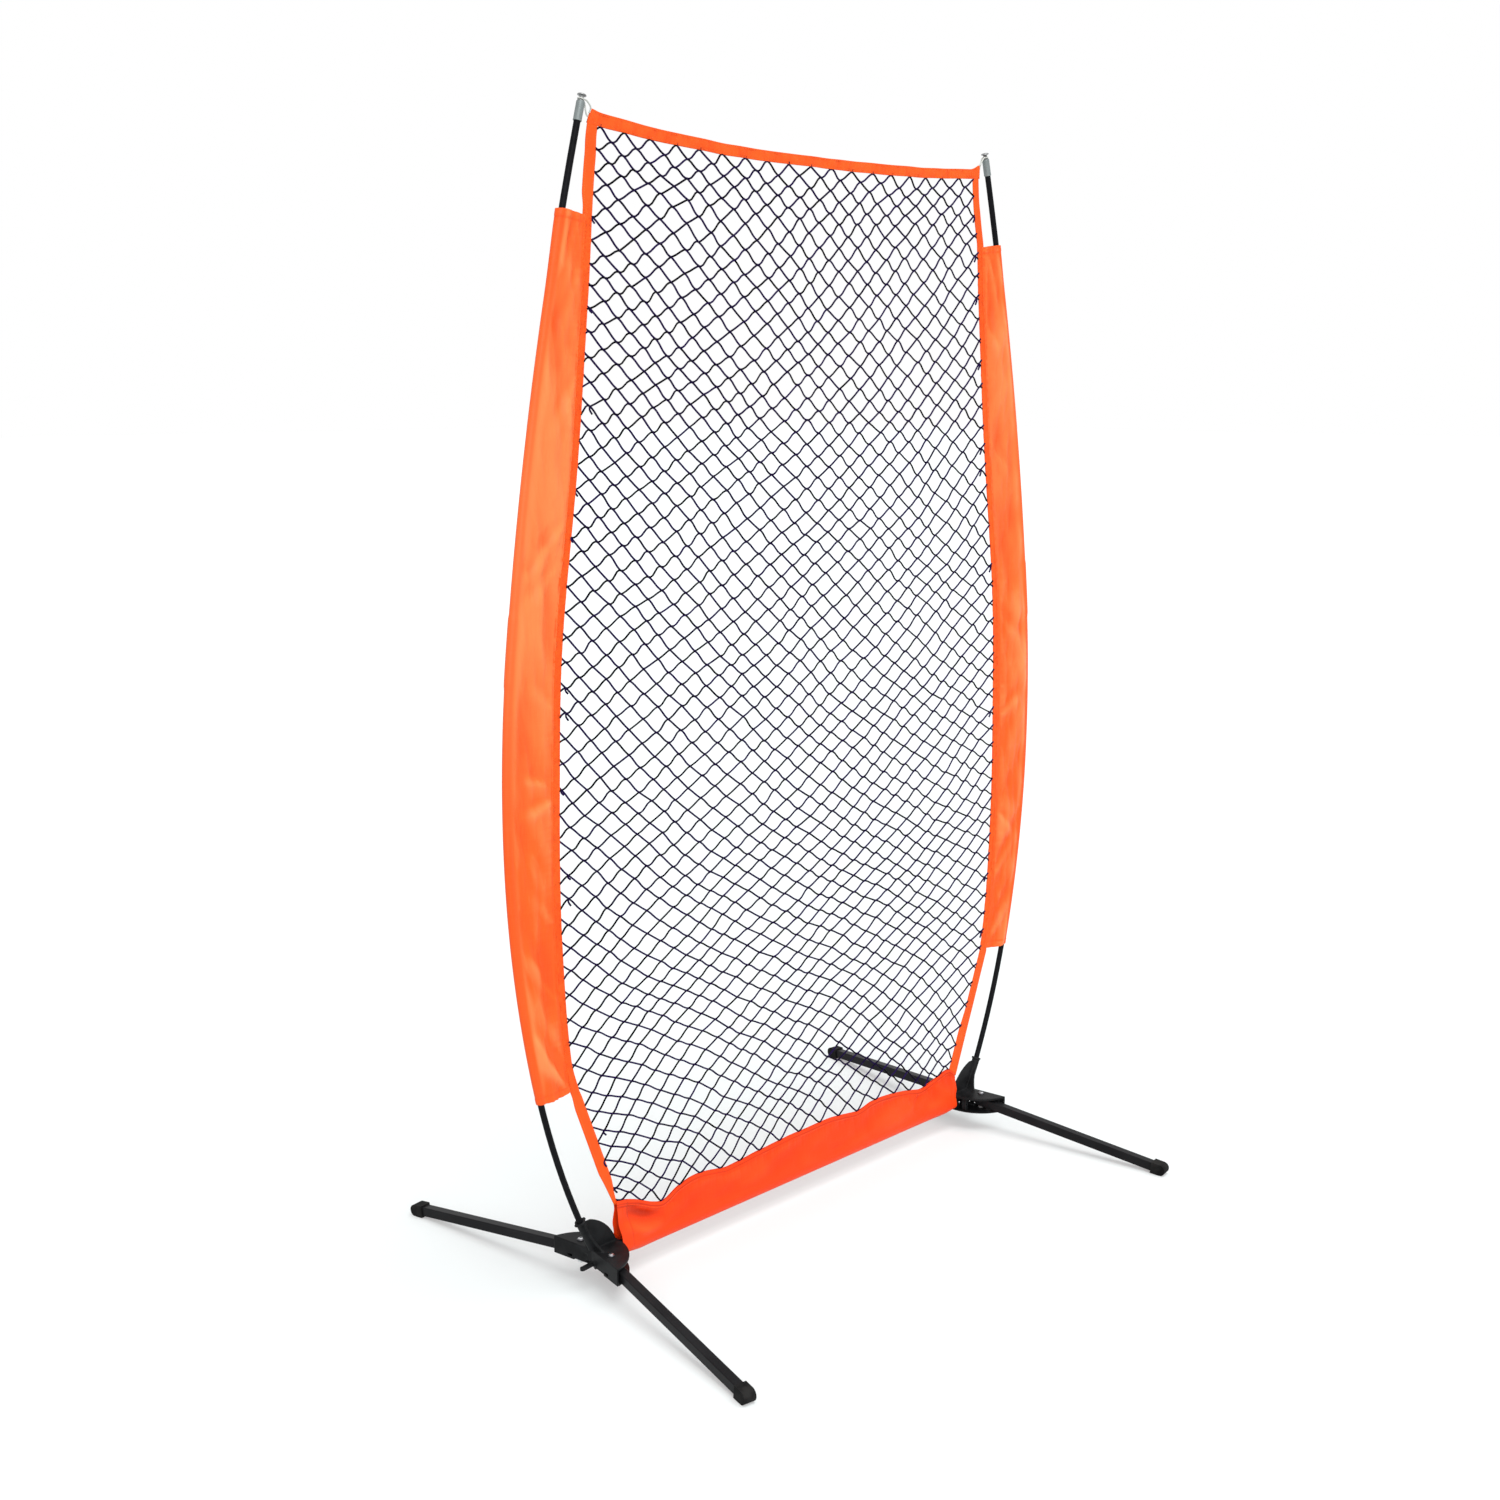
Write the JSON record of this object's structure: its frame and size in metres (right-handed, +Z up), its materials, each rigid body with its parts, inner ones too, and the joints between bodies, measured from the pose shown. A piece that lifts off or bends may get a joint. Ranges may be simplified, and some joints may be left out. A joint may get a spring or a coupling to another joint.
{
  "type": "pitch back rebounder",
  "caption": "Free-standing ball net: netting sewn to fabric sleeves on two bowed poles, over a crossbar between hubs with fold-in legs.",
  "frame": {"origin": "on the ground, midway between the two hubs and midway between front and back feet", "axes": "+X along the crossbar to the right-hand hub, +Y from front to back, +Z up"},
  "size_m": [1.4706, 0.9856, 2.1294],
  "materials": {
    "black_tube": "satin powder coat",
    "black_moulding": "satin black moulding",
    "black_plate": "satin black",
    "zinc": "bright zinc",
    "dark_steel": "dark zinc",
    "grey_nylon": "moulded",
    "black_rubber": "soft matt",
    "black_rod": "resin-wrapped glass-fibre tube",
    "aluminium": "satin",
    "silver_plastic": "silver-coloured moulding",
    "white_elastic": "braided",
    "orange_fabric": "plain weave, fluorescent",
    "red_orange_fabric": "plain weave, fluorescent",
    "orange_webbing": "edge binding with zigzag stitching",
    "black_netting": "knotted twine"
  },
  "bodies": {
    "frame": {"crossbar": "black_tube", "crossbar_rivets": "dark_steel", "left_hub": "black_moulding", "right_hub": "black_moulding", "left_hub_base": "black_plate", "right_hub_base": "black_plate", "left_base_screws": "dark_steel", "right_base_screws": "dark_steel", "left_leg_bolts": "zinc", "right_leg_bolts": "zinc", "left_leg_nuts": "zinc", "right_leg_nuts": "zinc", "left_leg_washers": "zinc", "right_leg_washers": "zinc", "left_lever_pin": "dark_steel", "right_lever_pin": "dark_steel", "left_lower_pole": "black_rod", "right_lower_pole": "black_rod", "left_upper_pole": "black_rod", "right_upper_pole": "black_rod", "left_pole_joint": "aluminium", "right_pole_joint": "aluminium", "left_tip_ferrule": "aluminium", "right_tip_ferrule": "aluminium", "left_tip_button": "silver_plastic", "right_tip_button": "silver_plastic", "left_shock_cord": "white_elastic", "right_shock_cord": "white_elastic", "left_corner_elastic": "white_elastic", "right_corner_elastic": "white_elastic", "left_side_sleeve": "orange_fabric", "right_side_sleeve": "orange_fabric", "left_side_band": "orange_webbing", "right_side_band": "orange_webbing", "top_band": "orange_webbing", "bottom_sleeve": "red_orange_fabric", "netting": "black_netting"},
    "front_left_leg": {"front_left_leg": "black_tube", "front_left_pivot_plug": "grey_nylon", "front_left_cap": "black_rubber"},
    "front_right_leg": {"front_right_leg": "black_tube", "front_right_pivot_plug": "grey_nylon", "front_right_cap": "black_rubber"},
    "back_left_leg": {"back_left_leg": "black_tube", "back_left_pivot_plug": "grey_nylon", "back_left_cap": "black_rubber"},
    "back_right_leg": {"back_right_leg": "black_tube", "back_right_pivot_plug": "grey_nylon", "back_right_cap": "black_rubber"},
    "left_lever": {"left_lock_lever": "black_moulding"},
    "right_lever": {"right_lock_lever": "black_moulding"}
  },
  "joints": [
    {"name": "front_left_leg_fold", "type": "hinge", "parent": "frame", "child": "front_left_leg", "pos_m": [-0.55, -0.0445, 0.05905], "axis": [0, 0, 1], "range_deg": [0, 99.5]},
    {"name": "front_right_leg_fold", "type": "hinge", "parent": "frame", "child": "front_right_leg", "pos_m": [0.55, -0.0445, 0.05905], "axis": [0, 0, -1], "range_deg": [0, 99.5]},
    {"name": "back_left_leg_fold", "type": "hinge", "parent": "frame", "child": "back_left_leg", "pos_m": [-0.55, 0.0445, 0.05905], "axis": [0, 0, -1], "range_deg": [0, 99.5]},
    {"name": "back_right_leg_fold", "type": "hinge", "parent": "frame", "child": "back_right_leg", "pos_m": [0.55, 0.0445, 0.05905], "axis": [0, 0, 1], "range_deg": [0, 99.5]},
    {"name": "left_lever_turn", "type": "hinge", "parent": "frame", "child": "left_lever", "pos_m": [-0.543, 0, 0.0466], "axis": [0, 0, -1], "range_deg": [0, 25]},
    {"name": "right_lever_turn", "type": "hinge", "parent": "frame", "child": "right_lever", "pos_m": [0.543, 0, 0.0466], "axis": [0, 0, 1], "range_deg": [0, 25]}
  ]
}
